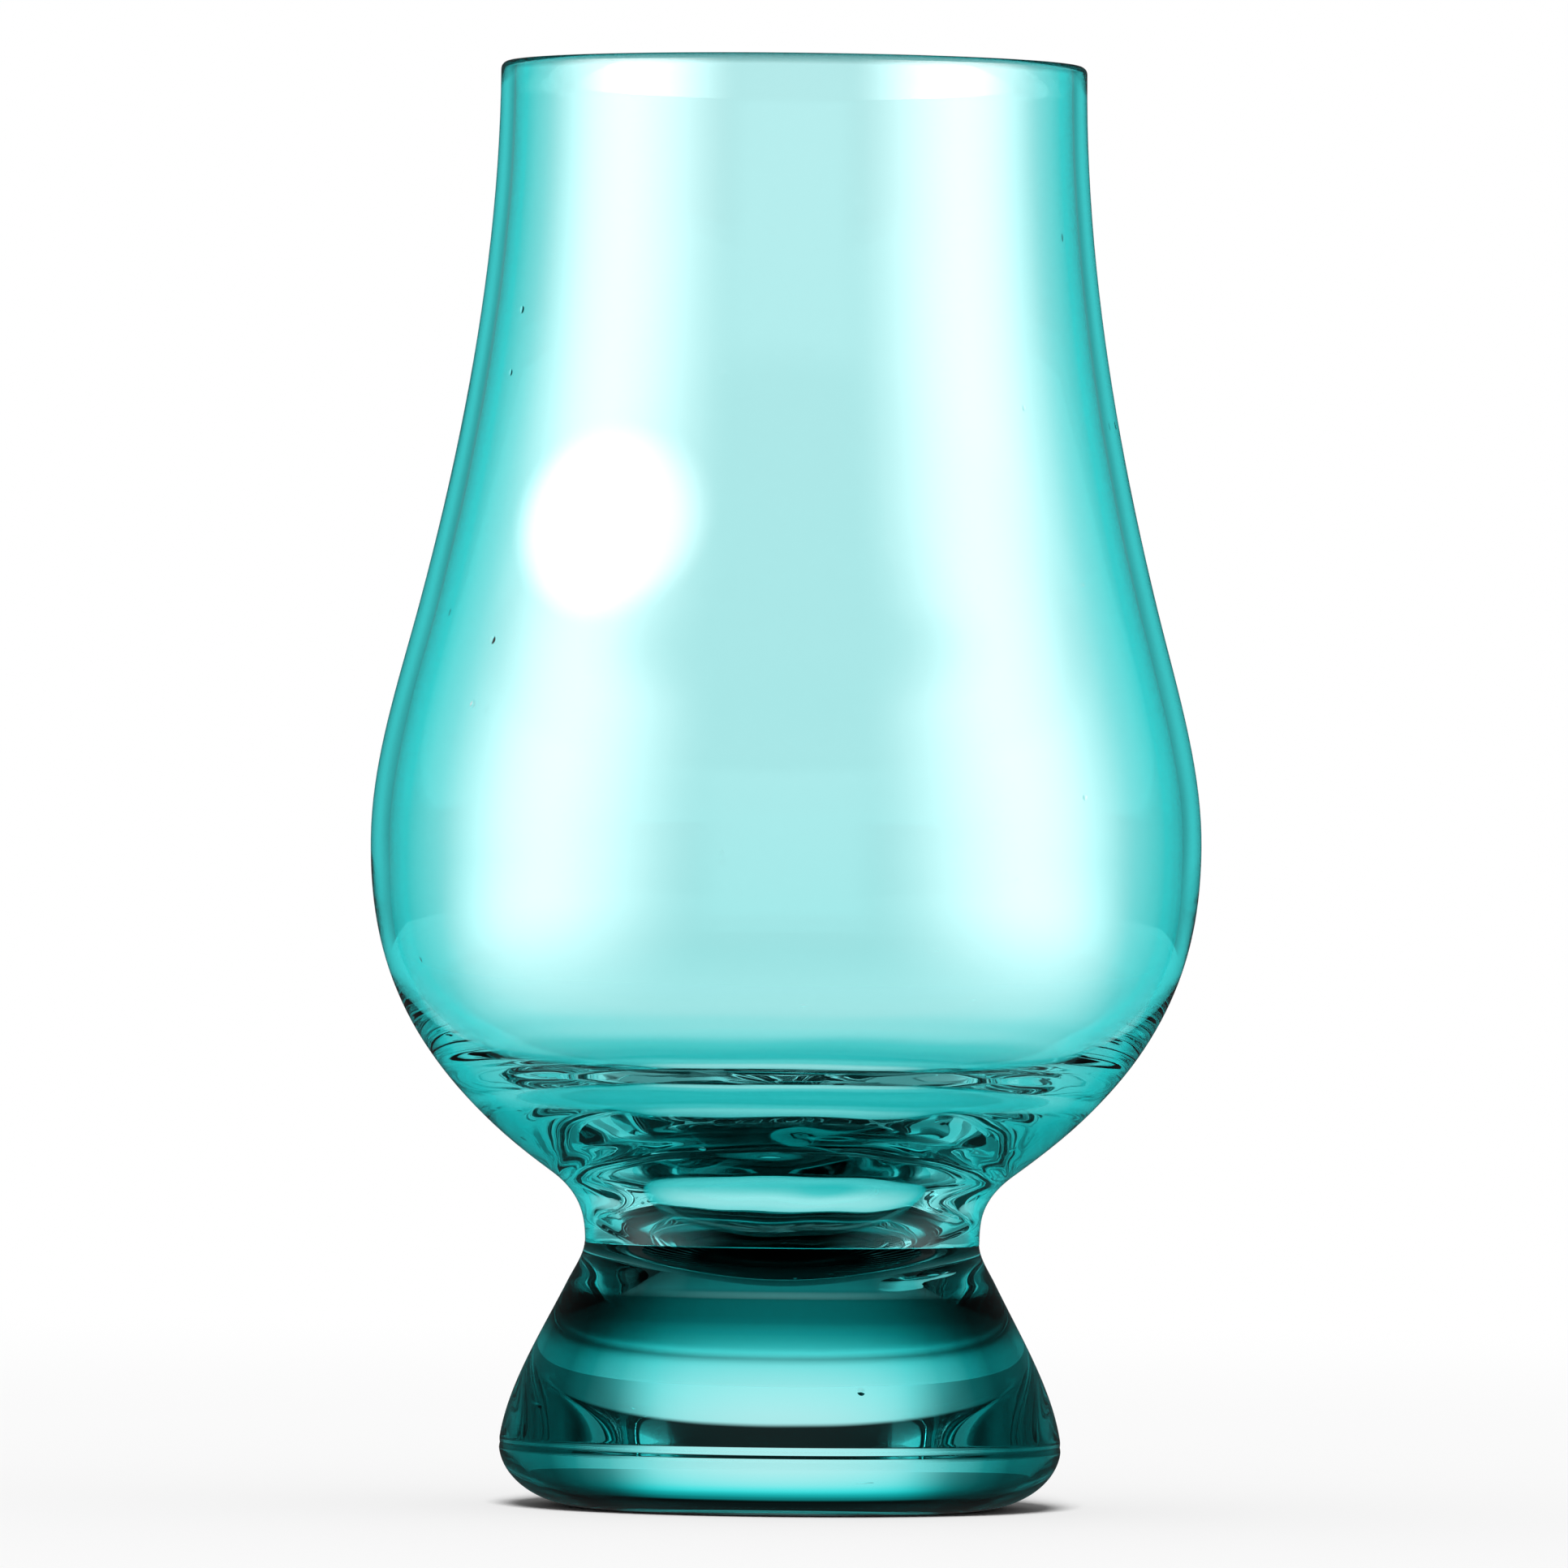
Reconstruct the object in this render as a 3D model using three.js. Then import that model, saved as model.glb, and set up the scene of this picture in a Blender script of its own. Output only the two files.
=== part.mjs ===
// A tulip-shaped whisky glass: a thin blown bowl fused hot to a solid pressed foot.
// Millimetres, +Z up. The origin is the middle of the circle that the glass stands on.
import * as THREE from "three";

// Foot, pressed in a mould
const STANDING_RADIUS = 15.4; // outer edge of the ring that touches the table
const STANDING_WIDTH = 1.6; // flat width of that ring
const RECESS_DEPTH = 0.8; // shallow dome under the foot, at its middle
const FOOT_RADIUS = 22.3; // widest ring, where the halves of the mould part
const FOOT_EDGE_HEIGHT = 5.0; // widest ring above the table
const FOOT_EDGE_SLOPE = -0.12; // radius per height just above the widest ring
const FOOT_CONE_HEIGHT = 16.0; // from the widest ring up to the edge of the seam
const COLLAR_DROP = 3.1; // from the edge of the seam down to where the cone starts to straighten
const COLLAR_RADIUS = 16.95;
const COLLAR_SLOPE = -0.5; // radius per height there
const FOOT_NECK_SLOPE = -0.05; // radius per height where the foot meets the seam

// Neck, the seam where the bowl and the foot are fused
const NECK_RADIUS = 15.65;
const SEAM_DEPTH = 5.7; // how far the round bottom of the bowl sinks into the foot

// Bowl, outer shape from the seam upwards
const FLANK_RISE = 5.5; // edge of the seam to the steepest part of the flare
const FLANK_RADIUS = 18.35;
const FLANK_SLOPE = 1.4; // radius per height on the flare
const BELLY_RISE = 26.2; // flare to the widest part of the bowl
const BELLY_RADIUS = 32.95;
const SHOULDER_RISE = 18.9; // belly to the steepest part of the taper
const SHOULDER_RADIUS = 29.25;
const SHOULDER_SLOPE = -0.255; // radius per height on the taper
const MOUTH_RISE = 42.9; // taper to the top of the rim
const MOUTH_RADIUS = 23.25;

// Bowl, wall thickness
const RIM_WALL = 1.2; // at the rim, whose edge is melted to a full round
const BELLY_WALL = 1.5; // at the belly and the shoulder
const FLOOR_THICKNESS = 3.7; // solid glass on the axis, from the seam up to the pit

// Bowl, the pit in the middle of its well
const PIT_DEPTH = 9.5; // from its brim down to its bottom
const BRIM_RADIUS = 14.7;
const BRIM_SLOPE = 2.04; // radius per height at the brim
const BRIM_EASE = 5.75; // how far in from the brim the well keeps that slope
const PIT_EASE = 12.5; // how far out from the axis the pit's bottom stays level

// Fineness of the solids
const SEGMENTS = 48; // round the axis
const CURVE_STEPS = 6; // along each curve of a section
const ROUND_STEPS = 6; // round the rim and along the foot's lower edge
const WELL_STEPS = 8; // from the belly down to the pit, and from there to its bottom

// Heights that follow from the sizes above
const seamHeight = FOOT_EDGE_HEIGHT + FOOT_CONE_HEIGHT;
const flankHeight = seamHeight + FLANK_RISE;
const bellyHeight = flankHeight + BELLY_RISE;
const shoulderHeight = bellyHeight + SHOULDER_RISE;
const mouthHeight = shoulderHeight + MOUTH_RISE;
const seamBottom = seamHeight - SEAM_DEPTH;
const pitHeight = seamBottom + FLOOR_THICKNESS;
const brimHeight = pitHeight + PIT_DEPTH;
const collarHeight = seamHeight - COLLAR_DROP;

// A level of a section: its radius, its height and how the radius changes with height there.
const level = (radius, height, slope) => ({ radius, height, slope });

// Points from one level to the next on a cubic that keeps both slopes, without the first point.
function sweep(from, to, steps = CURVE_STEPS) {
  const third = (to.height - from.height) / 3;
  const curve = new THREE.CubicBezierCurve(
    new THREE.Vector2(from.radius, from.height),
    new THREE.Vector2(from.radius + third * from.slope, from.height + third),
    new THREE.Vector2(to.radius - third * to.slope, to.height - third),
    new THREE.Vector2(to.radius, to.height),
  );
  return curve.getPoints(steps).slice(1);
}

// Turns a closed section of (radius, height) points about +Z into a named piece.
function turned(name, section, material) {
  const geometry = new THREE.LatheGeometry(section, SEGMENTS);
  geometry.rotateX(Math.PI / 2);
  const piece = new THREE.Mesh(geometry, material);
  piece.name = name;
  return piece;
}

// Underside of the foot: a shallow dome of circular section, then the flat standing ring.
function undersideSection() {
  const recessRadius = STANDING_RADIUS - STANDING_WIDTH;
  const dome = Array.from({ length: CURVE_STEPS }, (_, i) => {
    const out = i / CURVE_STEPS;
    return new THREE.Vector2(recessRadius * out, RECESS_DEPTH * (1 - out * out));
  });
  return [
    ...dome,
    new THREE.Vector2(recessRadius, 0),
    new THREE.Vector2(STANDING_RADIUS, 0),
  ];
}

// Lower edge of the foot: a quarter ellipse from the standing ring out to the widest ring.
function lowerEdgeSection() {
  const quarter = new THREE.EllipseCurve(
    STANDING_RADIUS,
    FOOT_EDGE_HEIGHT,
    FOOT_RADIUS - STANDING_RADIUS,
    FOOT_EDGE_HEIGHT,
    -Math.PI / 2,
    0,
  );
  return quarter.getPoints(ROUND_STEPS).slice(1);
}

// Seam: the round bottom of the bowl in the dish of the foot, from the axis out to the neck.
function seamSection() {
  return Array.from({ length: CURVE_STEPS + 1 }, (_, i) => {
    const out = i / CURVE_STEPS;
    return new THREE.Vector2(NECK_RADIUS * out, seamHeight - SEAM_DEPTH * (1 - out * out));
  });
}

function foot(material) {
  const widest = level(FOOT_RADIUS, FOOT_EDGE_HEIGHT, FOOT_EDGE_SLOPE);
  const collar = level(COLLAR_RADIUS, collarHeight, COLLAR_SLOPE);
  const seam = level(NECK_RADIUS, seamHeight, FOOT_NECK_SLOPE);
  const section = [
    ...undersideSection(),
    ...lowerEdgeSection(),
    ...sweep(widest, collar),
    ...sweep(collar, seam),
    ...seamSection().reverse().slice(1),
  ];
  return turned("foot", section, material);
}

// Rim: a half circle over the wall, from its outer face to its inner face.
function rimSection() {
  const half = RIM_WALL / 2;
  const over = new THREE.EllipseCurve(
    MOUTH_RADIUS - half,
    mouthHeight - half,
    half,
    half,
    0,
    Math.PI,
  );
  return over.getPoints(ROUND_STEPS).slice(1);
}

// Pit: from its brim on the well's slope, then down and level to the axis.
function pitSection(brim) {
  const pit = new THREE.CubicBezierCurve(
    new THREE.Vector2(brim.radius, brim.height),
    new THREE.Vector2(brim.radius - BRIM_EASE, brim.height - BRIM_EASE / brim.slope),
    new THREE.Vector2(PIT_EASE, pitHeight),
    new THREE.Vector2(0, pitHeight),
  );
  return pit.getPoints(WELL_STEPS).slice(1);
}

function bowl(material) {
  const rimSpring = mouthHeight - RIM_WALL / 2;
  const outer = [
    level(NECK_RADIUS, seamHeight, 0),
    level(FLANK_RADIUS, flankHeight, FLANK_SLOPE),
    level(BELLY_RADIUS, bellyHeight, 0),
    level(SHOULDER_RADIUS, shoulderHeight, SHOULDER_SLOPE),
    level(MOUTH_RADIUS, rimSpring, 0),
  ];
  const inner = [
    level(MOUTH_RADIUS - RIM_WALL, rimSpring, 0),
    level(SHOULDER_RADIUS - BELLY_WALL, shoulderHeight, SHOULDER_SLOPE),
    level(BELLY_RADIUS - BELLY_WALL, bellyHeight, 0),
  ];
  const brim = level(BRIM_RADIUS, brimHeight, BRIM_SLOPE);
  const along = (levels) => levels.slice(1).flatMap((to, i) => sweep(levels[i], to));
  const section = [
    ...seamSection(),
    ...along(outer),
    ...rimSection(),
    ...along(inner),
    ...sweep(inner.at(-1), brim, WELL_STEPS),
    ...pitSection(brim),
  ];
  return turned("bowl", section, material);
}

// Teal glass, tinted through its thickness
const bowlGlass = new THREE.MeshStandardMaterial({
  name: "teal_glass",
  color: 0xa6e8e4,
  roughness: 0.05,
  metalness: 0,
  transparent: true,
  opacity: 0.45,
});
const footGlass = new THREE.MeshStandardMaterial({
  name: "teal_glass_thick",
  color: 0x2fb9b6,
  roughness: 0.05,
  metalness: 0,
  transparent: true,
  opacity: 0.7,
});

const whiskyGlass = new THREE.Group();
whiskyGlass.name = "whisky_glass";
whiskyGlass.add(foot(footGlass), bowl(bowlGlass));

export default whiskyGlass;
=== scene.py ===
# %% [markdown]
# # A tulip-shaped whisky glass
# The glass is two pieces of teal glass: a thin blown bowl and a solid pressed foot, fused hot at the neck.
# Both are turned forms, so each one is a section carried round the upright axis. What makes glass look like
# glass is what it bends and soaks up, so the hidden inner faces matter here as much as the outline does.

# %% Modules and the shared frame
import math

import bpy
import numpy as np
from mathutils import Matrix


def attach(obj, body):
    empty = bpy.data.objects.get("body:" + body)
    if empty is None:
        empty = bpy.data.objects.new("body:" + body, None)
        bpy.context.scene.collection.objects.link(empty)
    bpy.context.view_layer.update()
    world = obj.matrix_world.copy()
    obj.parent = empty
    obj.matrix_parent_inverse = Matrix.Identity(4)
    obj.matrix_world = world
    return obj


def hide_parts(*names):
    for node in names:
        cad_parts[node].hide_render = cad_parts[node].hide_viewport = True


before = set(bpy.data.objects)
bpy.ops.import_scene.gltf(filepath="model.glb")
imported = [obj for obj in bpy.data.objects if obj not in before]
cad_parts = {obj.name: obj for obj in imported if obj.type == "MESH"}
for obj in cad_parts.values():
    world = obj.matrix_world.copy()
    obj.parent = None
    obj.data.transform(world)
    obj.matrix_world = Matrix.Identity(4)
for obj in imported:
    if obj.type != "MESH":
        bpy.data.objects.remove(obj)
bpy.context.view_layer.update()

# %% [markdown]
# ## Levels and sweeps
# A glassmaker's drawing gives the radius at a few heights and how steeply the wall leaves each of them. Bezier
# handles could draw the same curve, but a cubic in height keeps both radii and both slopes exactly, so the
# drawn section and the solid in the CAD frame follow one curve. The glass is drawn in millimetres, and its
# meshes are made in metres.


# %% Curves of a section
def sweep(start, end, steps):
    """Points between two levels (radius, height, slope), without the first.

    The radius is the cubic in height that has the radius and the slope of both levels.
    """
    (r0, z0, m0), (r1, z1, m1) = start, end
    t = np.linspace(0, 1, steps + 1)[1:]
    rise = z1 - z0
    radius = (
        (2 * t**3 - 3 * t**2 + 1) * r0
        + (t**3 - 2 * t**2 + t) * rise * m0
        + (3 * t**2 - 2 * t**3) * r1
        + (t**3 - t**2) * rise * m1
    )
    return np.column_stack([radius, z0 + rise * t])


def ellipse_arc(centre, half_width, half_height, first, last, steps):
    """Points on an ellipse from one angle to another in degrees, without the first: centre plus
    (half width times cosine, half height times sine)."""
    angle = np.radians(np.linspace(first, last, steps + 1)[1:])
    return np.column_stack(
        [centre[0] + half_width * np.cos(angle), centre[1] + half_height * np.sin(angle)]
    )


def dome(radius, edge_height, rise, steps):
    """Points from the axis out to the edge of a dome: the height is the edge's plus the rise times one less
    the square of the share of the radius."""
    out = np.linspace(0, 1, steps)
    return np.column_stack([radius * out, edge_height + rise * (1 - out**2)])


# %% [markdown]
# ## Turning a section
# The Spin tool or a Screw modifier would turn a section too. Worked out as one grid, the turned surface can
# also take a small push along its own normal at every point, which is how the marks of the mould and the tools
# get in below.


# %% Points and faces of a turned form
SEGMENTS = 320


def outward(section):
    """Unit normals of a section that runs up the outside and down the inside: its tangent turned right."""
    along = np.gradient(section, axis=0)
    normal = np.column_stack([along[:, 1], -along[:, 0]])
    return normal / np.linalg.norm(normal, axis=1, keepdims=True)


def turned_points(section, marks):
    """Points of a section turned about +Z, row after row, and then its two ends, which are on the axis.

    Point (i, j) is radius i times (cosine, sine) of angle j, at height i. The marks, a height for every point
    of the grid, first move it along the section's normal.
    """
    angle = np.linspace(0, 2 * math.pi, SEGMENTS, endpoint=False)
    rows = section[1:-1]
    moved = rows[:, None, :] + outward(section)[1:-1, None, :] * marks(rows, angle)[:, :, None]
    radius, height = moved[:, :, 0], moved[:, :, 1]
    grid = np.stack([radius * np.cos(angle), radius * np.sin(angle), height], axis=2)
    poles = np.array([[0, 0, section[0, 1]], [0, 0, section[-1, 1]]])
    return np.concatenate([grid.reshape(-1, 3), poles])


def turned_faces(rows):
    """Quads between each row and the next, and a fan of triangles from each end to the row beside it."""
    this = np.arange(SEGMENTS)
    after = (this + 1) % SEGMENTS
    row = SEGMENTS * np.arange(rows - 1)[:, None]
    above = row + SEGMENTS
    quads = np.stack([row + this, row + after, above + after, above + this], axis=2)
    first, last, top = rows * SEGMENTS, rows * SEGMENTS + 1, (rows - 1) * SEGMENTS
    first_fan = np.column_stack([np.full(SEGMENTS, first), after, this])
    last_fan = np.column_stack([top + this, top + after, np.full(SEGMENTS, last)])
    return quads.reshape(-1, 4).tolist() + first_fan.tolist() + last_fan.tolist()


# %% [markdown]
# Glass is smooth everywhere but at its few real edges, such as the edge of the seam. Edges that turn by more
# than the crease stay sharp, and all others are shaded smooth.


# %% Turned pieces
MM, CREASE = 0.001, 24


def turned_piece(name, section, marks):
    """A closed piece in metres from a section in millimetres, with its marks."""
    mesh = bpy.data.meshes.new(name)
    mesh.from_pydata(turned_points(section, marks) * MM, [], turned_faces(len(section) - 2))
    mesh.shade_smooth()
    mesh.set_sharp_from_angle(angle=math.radians(CREASE))
    piece = bpy.data.objects.new(name, mesh)
    bpy.context.scene.collection.objects.link(piece)
    print(name, len(mesh.polygons), "faces")
    return piece


# %% [markdown]
# ## The foot
# The foot is pressed in a mould: a cone over a rounded edge, standing on a narrow ring round a shallow hollow.
# Its top is a dish, in which the round bottom of the bowl lies. On the real glass the two are one there. Here a
# film of air is left between them, because two faces in the same place would fight in the render. The section
# runs from the axis under the foot outwards, up the side and back to the axis in the dish.

# %% Foot section
STANDING_RADIUS, STANDING_WIDTH, RECESS_DEPTH = 15.4, 1.6, 0.8
FOOT_RADIUS, EDGE_HEIGHT, EDGE_SLOPE = 22.3, 5.0, -0.12
COLLAR = (16.95, 17.9, -0.5)
NECK_RADIUS, SEAM_HEIGHT, FOOT_NECK_SLOPE = 15.65, 21.0, -0.05
SEAM_DEPTH, SEAM_FILM = 5.7, 0.05
HOLLOW_STEPS, RING_STEPS, EDGE_STEPS, CONE_STEPS, COLLAR_STEPS, SEAM_STEPS = 60, 5, 40, 60, 20, 32

recess_radius = STANDING_RADIUS - STANDING_WIDTH
hollow = dome(recess_radius, 0, RECESS_DEPTH, HOLLOW_STEPS)
ring = np.linspace(recess_radius, STANDING_RADIUS, RING_STEPS)[1:]
standing = np.column_stack([ring, 0 * ring])
lower_edge = ellipse_arc(
    (STANDING_RADIUS, EDGE_HEIGHT), FOOT_RADIUS - STANDING_RADIUS, EDGE_HEIGHT, -90, 0, EDGE_STEPS
)
cone = sweep((FOOT_RADIUS, EDGE_HEIGHT, EDGE_SLOPE), COLLAR, CONE_STEPS)
collar = sweep(COLLAR, (NECK_RADIUS, SEAM_HEIGHT - SEAM_FILM, FOOT_NECK_SLOPE), COLLAR_STEPS)
seam = dome(NECK_RADIUS, SEAM_HEIGHT, -SEAM_DEPTH, SEAM_STEPS)
dish = seam[-2::-1] - [0, SEAM_FILM]
foot_section = np.concatenate([hollow, standing, lower_edge, cone, collar, dish])
print("foot section:", len(foot_section), "points")

# %% [markdown]
# Pressing leaves marks. The hollow carries a ring of flutes, as pressed bases often do, which sparkle when one
# looks in through the side, and the halves of the mould leave a fine groove where they part, at the widest
# ring. They could be cut with a Boolean modifier. As pushes along the normal they are two short formulas, and
# the section stays a plain drawing: the flutes are a cosine round the axis that fades in and out along the
# hollow, and the groove is a narrow bell in height.

# %% Foot with its flutes and parting groove
FLUTES, FLUTE_DEPTH, FLUTE_RADIUS, FLUTE_SPREAD = 40, 0.22, 10.5, 2.6
GROOVE_DEPTH, GROOVE_WIDTH = 0.09, 0.22


def pressed_marks(section, angle):
    """Flute depth times half of (one plus the cosine of a whole number of turns), under a flat-topped bell in
    radius on the underside, plus groove depth times a bell in height. Both go into the glass."""
    radius, height = section[:, :1], section[:, 1:]
    under = (height < RECESS_DEPTH) & (radius < recess_radius)
    band = np.exp(-(((radius - FLUTE_RADIUS) / FLUTE_SPREAD) ** 4)) * under
    groove = np.exp(-(((height - EDGE_HEIGHT) / GROOVE_WIDTH) ** 2))
    return -FLUTE_DEPTH * band * (0.5 + 0.5 * np.cos(FLUTES * angle)) - GROOVE_DEPTH * groove


foot = turned_piece("foot_glass", foot_section, pressed_marks)

# %% [markdown]
# ## The bowl
# The bowl is blown from one gather: a flared flank over the neck, a round belly and a wall that narrows to the
# mouth, whose edge is melted to a full round. A Solidify modifier could give the wall from the outside alone,
# but this wall is thinner at the rim than at the belly, so the inside has levels of its own.

# %% Wall of the bowl, from the neck over the rim to the belly inside
FLANK = (18.35, 26.5, 1.4)
BELLY = (32.95, 52.7, 0.0)
SHOULDER = (29.25, 71.6, -0.255)
MOUTH_RADIUS, MOUTH_HEIGHT, RIM_WALL, BELLY_WALL = 23.25, 114.5, 1.2, 1.5
OUTSIDE_STEPS, RIM_STEPS, INSIDE_STEPS = (24, 36, 18, 22), 16, (20, 16)


def along(levels, steps):
    """Sweeps from each level to the next, one after the other."""
    return np.concatenate([sweep(*part) for part in zip(levels, levels[1:], steps)])


def across_wall(level):
    """The level inside the wall: a radius less by the wall, at the same height and slope."""
    radius, height, slope = level
    return (radius - BELLY_WALL, height, slope)


half_rim = RIM_WALL / 2
spring = MOUTH_HEIGHT - half_rim
outer = [(NECK_RADIUS, SEAM_HEIGHT, 0.0), FLANK, BELLY, SHOULDER, (MOUTH_RADIUS, spring, 0.0)]
inner = [(MOUTH_RADIUS - RIM_WALL, spring, 0.0), across_wall(SHOULDER), across_wall(BELLY)]
outside = along(outer, OUTSIDE_STEPS)
rim = ellipse_arc((MOUTH_RADIUS - half_rim, spring), half_rim, half_rim, 0, 180, RIM_STEPS)
inside = along(inner, INSIDE_STEPS)
print("wall of the bowl:", len(outside) + len(rim) + len(inside), "points")

# %% [markdown]
# Below the belly the inside narrows like a funnel to a pit, so the glass thickens towards the neck. There it
# is a lens, and bends what is behind it into bands. Two low rings round the well, each a bell in height, draw
# the dark line over the neck and the pale band under it. The pit is a Bezier curve, because it has to end
# level on the axis, where a cubic in height can't.

# %% Well and pit, and the whole section of the bowl
BRIM = (14.7, 28.5, 2.04)
PIT_FLOOR, PIT_EASE, BRIM_EASE = 19.0, 12.5, 5.75
WELL_RINGS = ((0.22, 30.4, 2.9), (0.45, 34.4, 1.1))
BRIM_FADE = 1.5
WELL_STEPS, PIT_STEPS = 90, 32


def bezier(corners, steps):
    """Points on a cubic Bezier curve, without the first: its four corners, weighted by the four terms of
    (1 - t) plus t to the third power."""
    t = np.linspace(0, 1, steps + 1)[1:, None]
    a, b, c, d = np.array(corners)
    return (1 - t) ** 3 * a + 3 * (1 - t) ** 2 * t * b + 3 * (1 - t) * t**2 * c + t**3 * d


well = sweep(inner[-1], BRIM, WELL_STEPS)
over_brim = np.clip((well[:, 1] - BRIM[1]) / BRIM_FADE, 0, 1)
for ridge, height, width in WELL_RINGS:
    well[:, 0] -= ridge * np.exp(-(((well[:, 1] - height) / width) ** 2)) * over_brim
brim = np.array(BRIM[:2])
down_slope = BRIM_EASE * np.array([1, 1 / BRIM[2]])
pit = bezier([brim, brim - down_slope, (PIT_EASE, PIT_FLOOR), (0, PIT_FLOOR)], PIT_STEPS)
bowl_section = np.concatenate([seam, outside, rim, inside, well, pit])
print("bowl section:", len(bowl_section), "points")

# %% [markdown]
# Blown glass is never quite even. Low ripples run round the lower bowl where the tools held it, and they draw
# the wavy light and dark streaks that one sees there. They are a few waves of fixed turn and pitch, strongest
# near the neck and gone before the belly. Noise would do as well, but it doesn't close on itself round the
# axis as a whole number of waves does.

# %% Bowl with its ripples
RIPPLE, RIPPLE_TOP, RIPPLE_FADE = 0.015, 46, 20
WAVES = ((1, 3, 0.55, 0.4), (0.8, 5, -0.75, 1.9), (0.6, 8, 0.9, 4.1), (0.5, 13, -1.3, 2.7))


def tool_ripples(section, angle):
    """A sum of strength times the cosine of (turns times angle plus pitch times height plus phase), under the
    square of a slope that rises from nothing below the belly to one at the neck."""
    height = section[:, 1:]
    fade = np.clip((RIPPLE_TOP - height) / RIPPLE_FADE, 0, 1) ** 2
    waves = sum(
        strength * np.cos(turns * angle + pitch * height + phase) for strength, turns, pitch, phase in WAVES
    )
    return RIPPLE * fade * waves


bowl = turned_piece("bowl_glass", bowl_section, tool_ripples)

# %% [markdown]
# ## Nodes in short
# A material is a tree of nodes. In the editor one adds each node, sets its fields and pulls a link into each
# socket. Two small helpers say the same in a line: a plain number or colour goes into the socket as it is, and
# the output of another node is linked to it.


# %% Helpers for nodes
def connect(tree, node, inputs):
    """Gives each named or numbered input of a node a plain value, or a link from another node's output."""
    for socket, value in inputs.items():
        if isinstance(value, bpy.types.NodeSocket):
            tree.links.new(value, node.inputs[socket])
        else:
            node.inputs[socket].default_value = value


def shader_node(tree, kind, inputs=None, **fields):
    """A new node of a kind, with its fields set and its inputs connected."""
    node = tree.nodes.new("ShaderNode" + kind)
    for name, value in fields.items():
        setattr(node, name, value)
    connect(tree, node, inputs or {})
    return node


# %% [markdown]
# ## Teal glass
# Coloured glass gets its colour from depth: the longer the way through it, the more red it soaks up. Absorption
# in the volume gives that. A glass also bends in the darks of the room round it, and a pale studio has few, so
# a tint at the surface stands in for them. It follows the height, read from Object Z, which needs no UV map.
# Each stop of a tint is a place, its red, and its green, which is also its blue.


# %% Ramps of teal
def teal_ramp(tree, value, stops):
    """The colour that a value picks from a ramp of stops (place from 0 to 1, red, green and blue)."""
    ramp = shader_node(tree, "ValToRGB", {"Fac": value})
    marks = ramp.color_ramp.elements
    marks.remove(marks[1])
    marks[0].position = stops[0][0]
    for place, _, _ in stops[1:]:
        marks.new(place)
    for mark, (_, red, other) in zip(marks, stops):
        mark.color = (red, other, other, 1)
    return ramp.outputs["Color"]


def height_ramp(tree, place, stops):
    """The colour that the height over the table picks from a ramp, whose stops are in millimetres."""
    height = shader_node(tree, "SeparateXYZ", {0: place}).outputs["Z"]
    level = shader_node(tree, "MapRange", {"Value": height, "From Max": MOUTH_HEIGHT * MM})
    return teal_ramp(tree, level.outputs["Result"], [(up / MOUTH_HEIGHT, *tint) for up, *tint in stops])


# %% [markdown]
# Where one looks along a wall of glass, the way through it is long and its edge goes deep. On the bowl, Layer
# Weight tells how far the wall turns away, and that picks how much deeper the tint gets. The volume alone would
# do this for a much thicker wall only, so the deep edges are partly that longer way and partly painted shade,
# the dark of a room that the wall would bend in.

# %% Glance on the bowl
# Deeper towards the edges: partly the longer way through the glass, partly painted shade.
BOWL_DEPTH_AND_SHADE = (
    (0, 1, 1), (0.3, 0.95, 1), (0.44, 0.7, 0.99), (0.525, 0.43, 0.98), (0.71, 0.012, 0.9), (1, 0.002, 0.7),
)


def bowl_glance(tree, place):
    """Where the bowl gets deeper, which is everywhere, and by what colour: partly the longer way through the
    wall, partly painted shade.
    """
    facing = shader_node(tree, "LayerWeight").outputs["Facing"]
    return 1, teal_ramp(tree, facing, BOWL_DEPTH_AND_SHADE)


# %% [markdown]
# The foot is solid, and its sides are painted darker, as shade, by where they are round the turned form, not by
# how its cone leans. So its glance is judged on the direction straight out from the axis in place of the normal.
# Only the side counts, not the hollow or the dish. The collar under the seam has painted shade of its own: there
# the middle is painted dark and the sides are left clear.

# %% Glance on the foot
# Painted shade: darker towards the sides of the foot, and in the middle of the collar.
FOOT_PAINTED_SHADE = (
    (0, 1, 1), (0.06, 0.7, 0.95), (0.13, 0.25, 0.75), (0.21, 0.06, 0.4),
    (0.32, 0.003, 0.14), (0.43, 0.0002, 0.05), (0.7, 0.001, 0.12), (1, 0.25, 0.8),
)
COLLAR_PAINTED_SHADE = ((0, 0.002, 0.12), (0.1, 0.004, 0.15), (0.22, 0.1, 0.5), (0.32, 1, 1))
COLLAR_FROM, COLLAR_TO = 16.8, 17.6
SIDE_RADIUS = NECK_RADIUS - 0.05


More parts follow.
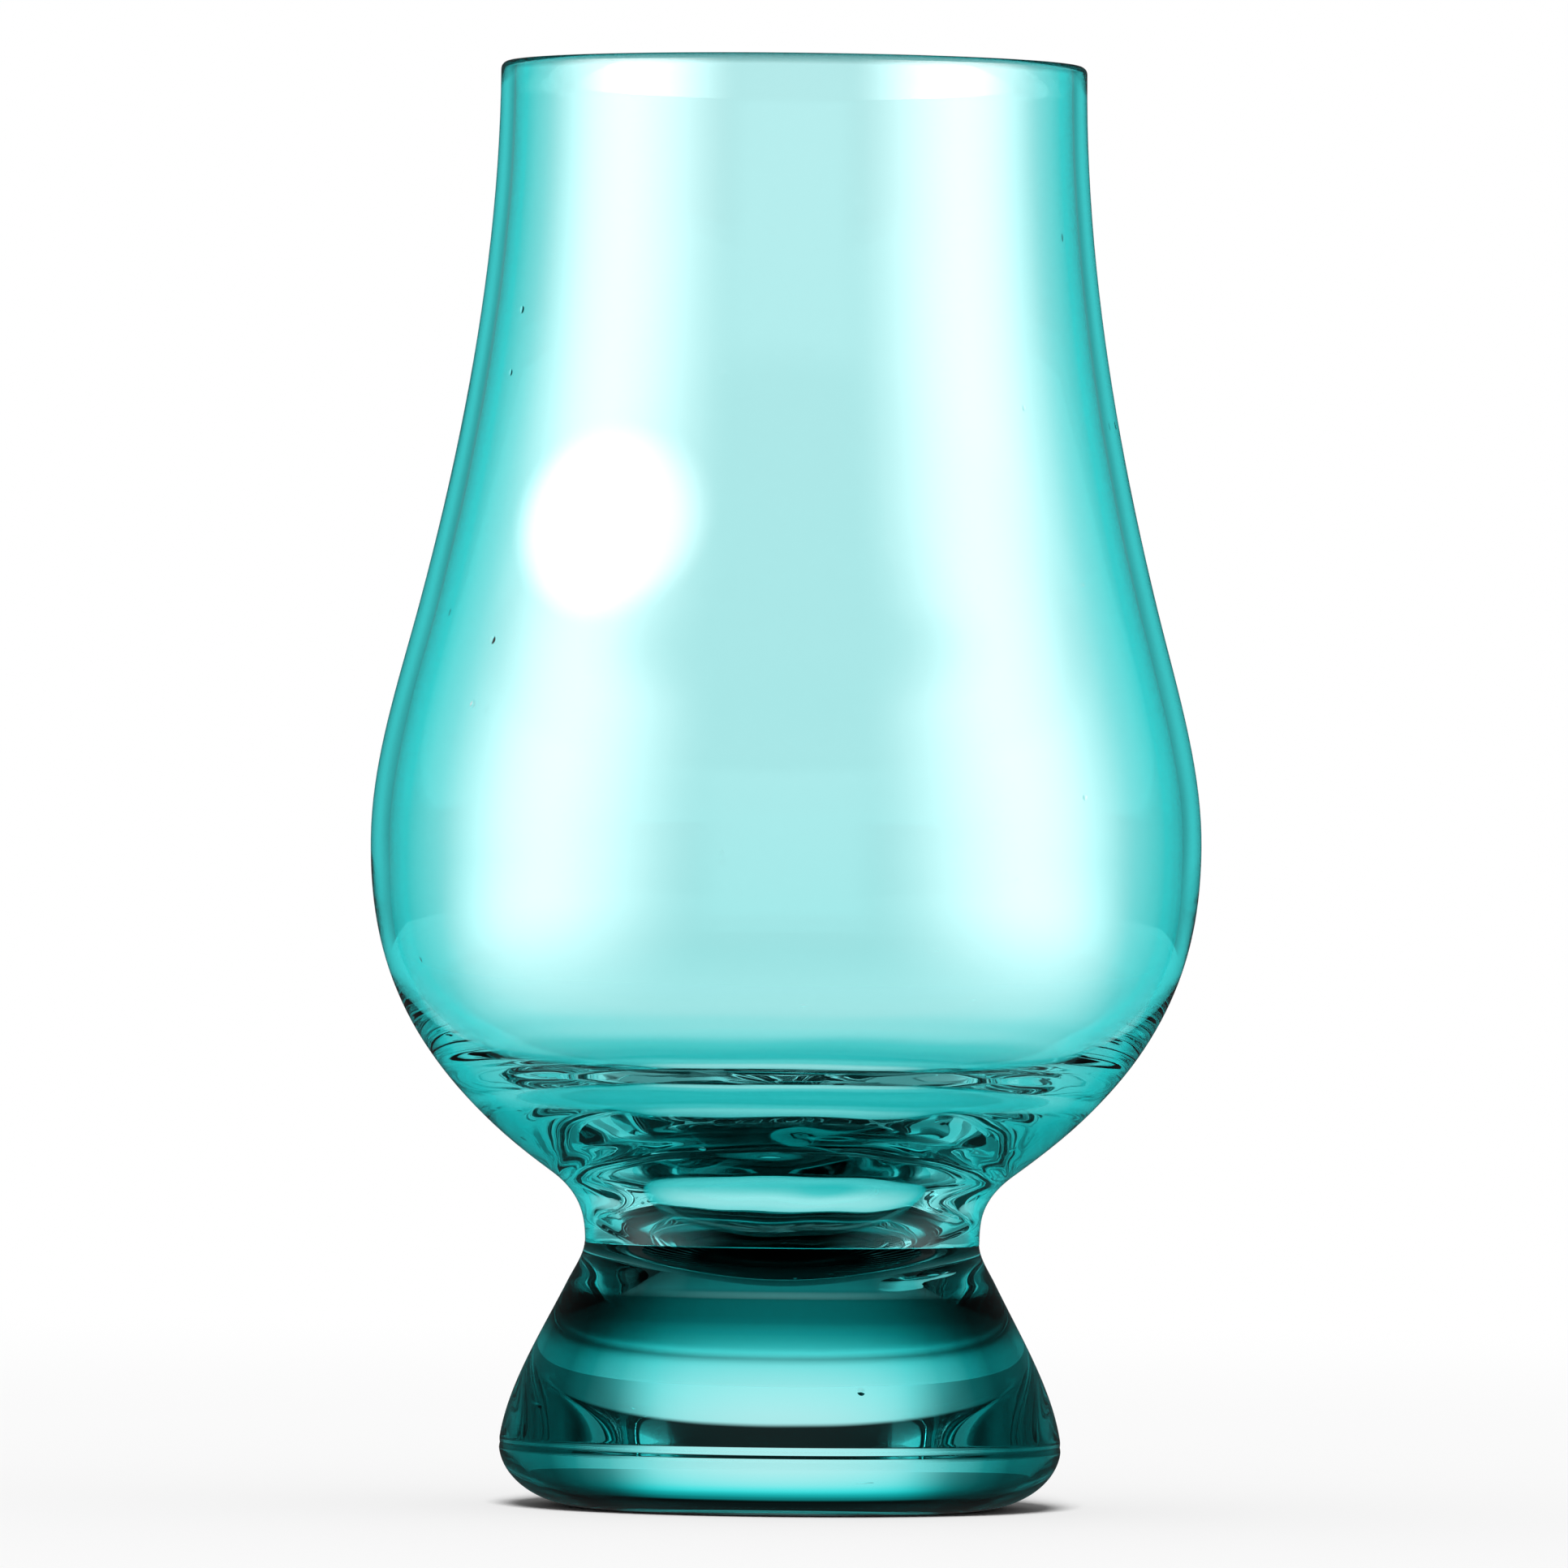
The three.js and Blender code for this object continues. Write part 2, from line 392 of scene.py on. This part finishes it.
def foot_glance(tree, place):
    """Where the foot gets deeper, which is further out than its dish, and by what colour, all of it painted
    shade: that of the cone turns into that of the collar between two heights."""
    level = shader_node(tree, "VectorMath", {0: place, 1: (1, 1, 0)}, operation="MULTIPLY").outputs["Vector"]
    out = shader_node(tree, "VectorMath", {0: level}, operation="NORMALIZE").outputs["Vector"]
    radius = shader_node(tree, "VectorMath", {0: level}, operation="LENGTH").outputs["Value"]
    side = shader_node(tree, "Math", {0: radius, 1: SIDE_RADIUS * MM}, operation="GREATER_THAN")
    facing = shader_node(tree, "LayerWeight", {"Normal": out}).outputs["Facing"]
    height = shader_node(tree, "SeparateXYZ", {0: place}).outputs["Z"]
    upper = shader_node(
        tree, "MapRange", {"Value": height, "From Min": COLLAR_FROM * MM, "From Max": COLLAR_TO * MM}
    ).outputs["Result"]
    on_cone, on_collar = teal_ramp(tree, facing, FOOT_PAINTED_SHADE), teal_ramp(tree, facing, COLLAR_PAINTED_SHADE)
    deeper = shader_node(tree, "Mix", {"Factor": upper, 6: on_cone, 7: on_collar}, data_type="RGBA")
    return side.outputs["Value"], deeper.outputs[2]


# %% [markdown]
# Slight waves in the surface, fine seeds, which are small bubbles at the skin of the glass, and a breath of
# uneven polish keep it from looking like a computed lens. They are too small to model, so noise and Voronoi
# cells on Object coordinates drive two Bump nodes and the roughness.

# %% Waves, seeds and polish
WAVE_SCALE, WAVE_DETAIL = 90, 1
SEED_SCALE, SEED_SIZE, SEED_DEPTH = 130, 0.045, 0.1
POLISH_SCALE, POLISH_DETAIL, HAZE = 60, 3, 0.005


def uneven_normal(tree, place, wave_depth):
    """Normal over low waves of noise, with a small pit at the middle of each Voronoi cell. Depths are in
    millimetres."""
    noise = shader_node(tree, "TexNoise", {"Vector": place, "Scale": WAVE_SCALE, "Detail": WAVE_DETAIL})
    waves = shader_node(tree, "Bump", {"Height": noise.outputs["Fac"], "Distance": wave_depth * MM})
    cells = shader_node(tree, "TexVoronoi", {"Vector": place, "Scale": SEED_SCALE})
    seed = shader_node(tree, "MapRange", {"Value": cells.outputs["Distance"], "From Max": SEED_SIZE})
    seeds = {"Height": seed.outputs["Result"], "Normal": waves.outputs["Normal"], "Distance": SEED_DEPTH * MM}
    return shader_node(tree, "Bump", seeds).outputs["Normal"]


def uneven_polish(tree, place):
    """Roughness from nothing to the haze, by noise."""
    noise = shader_node(tree, "TexNoise", {"Vector": place, "Scale": POLISH_SCALE, "Detail": POLISH_DETAIL})
    return shader_node(tree, "MapRange", {"Value": noise.outputs["Fac"], "To Max": HAZE}).outputs["Result"]


# %% [markdown]
# Now the parts come together in one Principled BSDF with full transmission, and a Volume Absorption beside it.
# A Glass BSDF would do for the bending, but it has no tint of its own for reflections, and those are muted on
# the foot and the lower bowl.

# %% Glass material
IOR, ABSORBED, PLAIN_TINT = 1.5, (0.17, 0.84, 0.84, 1), (0.5, 0.92, 0.92, 1)


def teal_glass(name, tints_and_shade, glance, gloss, density, wave_depth):
    """Clear refracting glass: a tint by height times a deeper one at a glance, both partly painted shade over
    the glass's own teal, reflections tinted by height, and absorption per metre of (1 - colour) times density. A
    viewer that can't read the nodes has the plain tint."""
    material = bpy.data.materials.new(name)
    material.use_nodes = True
    tree = material.node_tree
    glass = tree.nodes["Principled BSDF"]
    place = shader_node(tree, "TexCoord").outputs["Object"]
    where, deeper = glance(tree, place)
    # The tint is the glass's own teal with painted shade multiplied in.
    layers = {"Factor": where, 6: height_ramp(tree, place, tints_and_shade), 7: deeper}
    tint = shader_node(tree, "Mix", layers, data_type="RGBA", blend_type="MULTIPLY").outputs[2]
    glass.inputs["Base Color"].default_value = PLAIN_TINT
    connect(tree, glass, {"Base Color": tint, "Specular Tint": height_ramp(tree, place, gloss)})
    connect(tree, glass, {"Transmission Weight": 1, "IOR": IOR, "Roughness": uneven_polish(tree, place)})
    connect(tree, glass, {"Normal": uneven_normal(tree, place, wave_depth)})
    depth = shader_node(tree, "VolumeAbsorption", {"Color": ABSORBED, "Density": density})
    connect(tree, tree.nodes["Material Output"], {"Volume": depth.outputs["Volume"]})
    return material


# %% [markdown]
# The bowl's own teal clears up the wall. Over it, painted shade makes dark bands at the neck and just above it,
# and a near-black line on the rim. The foot is clear at its lower edge and again at the seam, and its upper cone
# is painted near black, as shade. Both pieces ride on the one body of the frame and stand for its two solids.

# %% The two glasses
# Painted shade in the dark stops below 36.5 mm and in the near-black line at the rim; the rest is the glass's
# own teal.
BOWL_TINTS_AND_SHADE = (
    (20, 0.25, 0.77), (22, 0.35, 0.82), (23, 0.6, 0.92), (26, 0.6, 0.92), (27.2, 0.07, 0.61),
    (31, 0.07, 0.61), (32.2, 0.32, 0.81), (34, 0.52, 0.885), (36.5, 0.64, 0.92), (44, 0.62, 0.925),
    (60, 0.68, 0.94), (113.8, 0.72, 0.95), (114.2, 0.005, 0.2),
)
# Painted shade from 10 to 17.8 mm, near black in the upper cone; the stops below and above are the glass's own
# teal.
FOOT_TINTS_AND_SHADE = (
    (8, 0.75, 0.97), (10, 0.5, 0.95), (11.5, 0.27, 0.93), (12.4, 0.07, 0.87), (13.2, 0.01, 0.76),
    (14, 0.0006, 0.33), (15.3, 0.00004, 0.06), (17, 0.0001, 0.05), (17.8, 0.3, 0.85), (19.5, 0.6, 0.92),
)
BOWL_GLOSS, FOOT_GLOSS = ((37, 0.03, 0.1), (44.5, 1, 1)), ((4, 0.2, 0.3), (7, 0.05, 0.15))
BOWL_DENSITY, FOOT_DENSITY = 20, 16
BOWL_WAVE, FOOT_WAVE = 0.02, 0.015

bowl_teal_and_shade = teal_glass("bowl_teal_and_shade", BOWL_TINTS_AND_SHADE, bowl_glance, BOWL_GLOSS, BOWL_DENSITY, BOWL_WAVE)
foot_teal_and_shade = teal_glass("foot_teal_and_shade", FOOT_TINTS_AND_SHADE, foot_glance, FOOT_GLOSS, FOOT_DENSITY, FOOT_WAVE)
for piece, node, material in ((bowl, "bowl", bowl_teal_and_shade), (foot, "foot", foot_teal_and_shade)):
    piece.data.materials.append(material)
    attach(piece, "root")
    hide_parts(node)
print("glass pieces:", bowl.name, foot.name)

# %% [markdown]
# ## Floor
# A white studio sweep: near the glass it is pale and takes the shadow, and further off it fades into the white
# of the backdrop, so that no edge shows behind the glass or through it. A real sweep curves up into the wall.
# This one is flat and glows where it is far, which looks the same from every side. Reflections show it dim,
# because a bright floor would lay a veil over the dark foot.


# %% Shader by the kind of ray
def ray_choice(tree, lit, mirrored, seen):
    """A shader by the kind of ray: what it lights, what a reflection shows of it, and what one sees of it with
    the camera or through glass."""
    path = shader_node(tree, "LightPath").outputs
    looks = {0: path["Is Camera Ray"], 1: path["Is Transmission Ray"]}
    looking = shader_node(tree, "Math", looks, operation="MAXIMUM").outputs["Value"]
    unseen = shader_node(tree, "MixShader", {"Fac": path["Is Glossy Ray"], 1: lit, 2: mirrored})
    choice = shader_node(tree, "MixShader", {"Fac": looking, 1: unseen.outputs["Shader"], 2: seen})
    return choice.outputs["Shader"]


# %% Floor
FLOOR_REACH, FADE_FROM, FADE_TO = 0.55, 0.2, 0.5
FLOOR_PAINT, SHEEN = (0.9, 0.9, 0.9, 1), 0.03


def bare_material(name):
    """A new material without a shader."""
    material = bpy.data.materials.new(name)
    material.use_nodes = True
    material.node_tree.nodes.remove(material.node_tree.nodes["Principled BSDF"])
    return material


def pale_floor():
    """Diffuse white near the object, which one sees fade into a white glow of strength one. Reflections show
    it as a dim glow."""
    material = bare_material("studio_sweep")
    tree = material.node_tree
    paint = shader_node(tree, "BsdfDiffuse", {"Color": FLOOR_PAINT}).outputs["BSDF"]
    white = shader_node(tree, "Emission").outputs["Emission"]
    dim = shader_node(tree, "Emission", {"Strength": SHEEN}).outputs["Emission"]
    place = shader_node(tree, "TexCoord").outputs["Object"]
    away = shader_node(tree, "VectorMath", {0: place}, operation="LENGTH").outputs["Value"]
    span = {"Value": away, "From Min": FADE_FROM, "From Max": FADE_TO}
    fade = shader_node(tree, "MapRange", span, interpolation_type="SMOOTHSTEP").outputs["Result"]
    sweep_seen = shader_node(tree, "MixShader", {"Fac": fade, 1: paint, 2: white}).outputs["Shader"]
    surface = ray_choice(tree, paint, dim, sweep_seen)
    connect(tree, tree.nodes["Material Output"], {"Surface": surface})
    return material


corners = np.array([[-1, -1, 0], [1, -1, 0], [1, 1, 0], [-1, 1, 0]]) * FLOOR_REACH
floor_mesh = bpy.data.meshes.new("floor")
floor_mesh.from_pydata(corners, [], [(0, 1, 2, 3)])
floor_mesh.materials.append(pale_floor())
floor = bpy.data.objects.new("floor", floor_mesh)
bpy.context.scene.collection.objects.link(floor)
print("floor reaches", FLOOR_REACH, "m")

# %% [markdown]
# ## Backdrop
# Glass is lit from behind. Four white flats stand round the floor, in front, behind and on both sides, with
# dimmer gaps between them and a dark studio above, which draw the deep edges of the bowl and the dark lines in
# the thick parts. Planes would do for flats, but as the world they are equally far from every point of the
# glass: they are told apart by the turn and the height of the ray. Only rays that look at them see them. In
# reflections the studio is dim, and as a light the world is a weak fill.

# %% World
FLATS, FLAT_HALF, FLAT_SOFT, FLAT_TOP, FLAT_EDGE = 4, 24.0, 8, 16.5, 3.0
STUDIO_DARK, GAP, FILL = 0.02, 0.4, 0.3
WHITE = (1, 1, 1, 1)


def smooth_range(tree, value, first, last, low, high):
    """A smooth step of a value from one level to another, between a first and a last measure of it."""
    span = {"Value": value, "From Min": first, "From Max": last, "To Min": low, "To Max": high}
    return shader_node(tree, "MapRange", span, interpolation_type="SMOOTHSTEP").outputs["Result"]


def turn_cosine(degrees):
    """Cosine of an angle from the middle of a flat, times the number of flats."""
    return math.cos(math.radians(FLATS * degrees))


world = bpy.data.worlds.new("studio")
bpy.context.scene.world = world
world.use_nodes = True
tree = world.node_tree
way = shader_node(tree, "SeparateXYZ", {0: shader_node(tree, "TexCoord").outputs["Generated"]}).outputs
top, over_top = (math.sin(math.radians(up)) for up in (FLAT_TOP, FLAT_TOP + FLAT_EDGE))
below_top = smooth_range(tree, way["Z"], top, over_top, 1, 0)
turn = shader_node(tree, "Math", {0: way["Y"], 1: way["X"]}, operation="ARCTAN2").outputs["Value"]
turns = shader_node(tree, "Math", {0: turn, 1: FLATS}, operation="MULTIPLY").outputs["Value"]
swing = shader_node(tree, "Math", {0: turns}, operation="COSINE").outputs["Value"]
in_gap, on_flat = turn_cosine(FLAT_HALF + FLAT_SOFT), turn_cosine(FLAT_HALF - FLAT_SOFT)
on_width = smooth_range(tree, swing, in_gap, on_flat, GAP, 1)
flat = shader_node(tree, "Math", {0: on_width, 1: below_top}, operation="MULTIPLY").outputs["Value"]
shade = shader_node(tree, "MapRange", {"Value": flat, "To Min": STUDIO_DARK}).outputs["Result"]
print("flats up to", FLAT_TOP, "degrees")

# %% World by the kind of ray
flats = tree.nodes["Background"]
connect(tree, flats, {"Color": shade})
weak_fill = shader_node(tree, "Background", {"Color": WHITE, "Strength": FILL})
dim_studio = shader_node(tree, "Background", {"Color": WHITE, "Strength": SHEEN})
kinds = [background.outputs["Background"] for background in (weak_fill, dim_studio, flats)]
connect(tree, tree.nodes["World Output"], {"Surface": ray_choice(tree, *kinds)})
print("fill light", FILL, "and mirrored studio", SHEEN)

# %% [markdown]
# ## Main light
# The main light is high in front and large, for a soft shadow behind the foot. The thin clear bowl hardly
# shades a table, and a ray tracer without caustics would make its shadow far too dark, so it casts none. An
# area lamp would fade with distance; a sun lights the whole floor evenly.

# %% Key light
KEY_TURN, KEY_RISE, KEY_SIZE, KEY_STRENGTH = 3, 44, 24, 3.47
sun = bpy.data.lights.new("key", "SUN")
sun.energy = KEY_STRENGTH
sun.angle = math.radians(KEY_SIZE)
key = bpy.data.objects.new("key", sun)
key.rotation_euler = (math.radians(90 - KEY_RISE), 0, math.radians(-KEY_TURN))
key.visible_glossy = False
key.visible_transmission = False
bpy.context.scene.collection.objects.link(key)
bowl.visible_shadow = False
print("key light", KEY_RISE, "degrees up")

# %% [markdown]
# ## Cards and lamp for the reflections
# Photographers stand soft white cards beside a glass for their reflections alone. Area lamps have hard edges in
# a reflection, so a card here is a curved mesh with a glow of its own at every point, which fades towards its
# edges. It is a veil: what is behind it shows through. Light linking ties it to the bowl, so that it adds
# nothing to the foot or the floor.

# %% Soft cards
card_lit = bpy.data.collections.new("card_lit")
card_lit.objects.link(bowl)


def card_mesh(name, left, right, radius, height, glow):
    """Part of a cove round the glass: azimuth runs from left to right of the camera in degrees, the section is
    given by radii and heights in metres, and the glow, from nothing to one, by a value for every point."""
    turn = np.radians(np.linspace(left, right, len(glow)))[:, None]
    points = np.stack([radius * np.sin(turn), -radius * np.cos(turn), height + 0 * turn], axis=2)
    rows = len(radius)
    column, up = rows * np.arange(len(glow) - 1)[:, None], np.arange(rows - 1)
    faces = np.stack([column + up, column + up + 1, column + rows + up + 1, column + rows + up], axis=2)
    mesh = bpy.data.meshes.new(name)
    mesh.from_pydata(points.reshape(-1, 3), [], faces.reshape(-1, 4).tolist())
    mesh.attributes.new("glow", "FLOAT", "POINT").data.foreach_set("value", glow.ravel())
    return mesh


def glowing_veil(name, strength):
    """Emission by the glow of the mesh, added to plain transparency."""
    material = bare_material(name)
    tree = material.node_tree
    glow = shader_node(tree, "Attribute", attribute_name="glow").outputs["Fac"]
    light = shader_node(tree, "Emission", {"Color": glow, "Strength": strength}).outputs["Emission"]
    clear = shader_node(tree, "BsdfTransparent").outputs["BSDF"]
    veil = shader_node(tree, "AddShader", {0: light, 1: clear}).outputs["Shader"]
    connect(tree, tree.nodes["Material Output"], {"Surface": veil})
    return material


def soft_card(name, left, right, radius, height, glow, strength):
    """A card of the stage that only the bowl's reflections show."""
    mesh = card_mesh(name, left, right, radius, height, glow)
    mesh.materials.append(glowing_veil(name, strength))
    card = bpy.data.objects.new(name, mesh)
    bpy.context.scene.collection.objects.link(card)
    card.visible_camera = False
    card.visible_diffuse = False
    card.visible_shadow = False
    card.visible_transmission = False
    card.light_linking.receiver_collection = card_lit


# %% [markdown]
# Two cards stand on either side and draw the long pale bands down the bowl. Each one starts on the floor near
# the glass, runs out to a wall and up it, so that the band reaches down to the neck. Its glow is a squared sine
# across, and a smooth step along the floor and at the top of the wall.

# %% Cards left and right
CARD_FROM, CARD_TO, CARD_STRENGTH, CARD_COLUMNS = 20, 112, 11.0, 33
CARD_START, CARD_DISTANCE, CARD_LIFT, CARD_RISE = 0.035, 1.2, 0.001, 33
FULL_FROM, TOP_FADE = 0.3, 0.2
FLOOR_ROWS, WALL_ROWS = 30, 20


def smooth(share):
    """A smooth step: nothing up to 0, one from 1 on, three times the square less twice the cube between."""
    share = np.clip(share, 0, 1)
    return share * share * (3 - 2 * share)


low = np.geomspace(CARD_START, CARD_DISTANCE, FLOOR_ROWS)
high = np.linspace(0, CARD_DISTANCE * math.tan(math.radians(CARD_RISE)), WALL_ROWS)[1:]
card_radius = np.concatenate([low, np.full(len(high), CARD_DISTANCE)])
card_height = np.concatenate([np.full(len(low), CARD_LIFT), high])
along_floor = np.log(low / low[0]) / math.log(FULL_FROM / low[0])
below_end = (high[-1] - high) / (TOP_FADE * high[-1])
over_width = np.sin(np.linspace(0, math.pi, CARD_COLUMNS))[:, None] ** 2
card_glow = over_width * smooth(np.concatenate([along_floor, below_end]))
soft_card("card_left", -CARD_TO, -CARD_FROM, card_radius, card_height, card_glow, CARD_STRENGTH)
soft_card("card_right", CARD_FROM, CARD_TO, card_radius, card_height, card_glow, CARD_STRENGTH)
print("cards from", CARD_FROM, "to", CARD_TO, "degrees on both sides")

# %% [markdown]
# A round soft lamp close to the wall on the left makes the one bright spot on the shoulder. The shoulder leans
# and curves, which skews a mirrored circle, so the glow leans the other way.

# %% Lamp
LAMP_FROM, LAMP_TO, LAMP_LEAN, LAMP_SOFT, LAMP_STEPS = -87, -19, 0.4, 0.4, 33
LAMP_DISTANCE, LAMP_HEIGHT, LAMP_HALF, LAMP_STRENGTH = 0.065, 0.0940, 0.0065, 10.0

ends = np.linspace(-1, 1, LAMP_STEPS)
across, up = np.meshgrid(ends, ends, indexing="ij")
lamp_glow = smooth((1 - np.hypot(across, up - LAMP_LEAN * across)) / LAMP_SOFT)
lamp_height = LAMP_HEIGHT + LAMP_HALF * ends
lamp_radius = np.full(LAMP_STEPS, LAMP_DISTANCE)
soft_card("lamp_left", LAMP_FROM, LAMP_TO, lamp_radius, lamp_height, lamp_glow, LAMP_STRENGTH)
print("lamp at", LAMP_HEIGHT, "m")

# %% [markdown]
# ## Camera
# The picture is taken from a little over a metre with a long lens, level with the middle of the glass. The glass
# leans a hair to the right in the frame, which is a roll of the camera. Light crosses many faces of glass on its
# way, so it may bounce often, and the colours go to the screen as they are.

# %% Camera and colour
DISTANCE, EYE_HEIGHT, SHIFT, FIELD, ROLL = 1.4, 0.0574, -0.00022, 0.1244, -0.61
BOUNCES = 96
lens = bpy.data.cameras.new("camera")
lens.lens = lens.sensor_width * DISTANCE / FIELD
camera = bpy.data.objects.new("camera", lens)
camera.location = (SHIFT, -DISTANCE, EYE_HEIGHT)
camera.rotation_euler = (math.pi / 2, math.radians(ROLL), 0)
scene = bpy.context.scene
scene.collection.objects.link(camera)
scene.camera = camera
scene.view_settings.view_transform = "Standard"
scene.cycles.max_bounces = BOUNCES
scene.cycles.transmission_bounces = BOUNCES
scene.cycles.glossy_bounces = BOUNCES
scene.cycles.caustics_reflective = False
scene.cycles.caustics_refractive = False
print("lens", round(lens.lens), "mm")
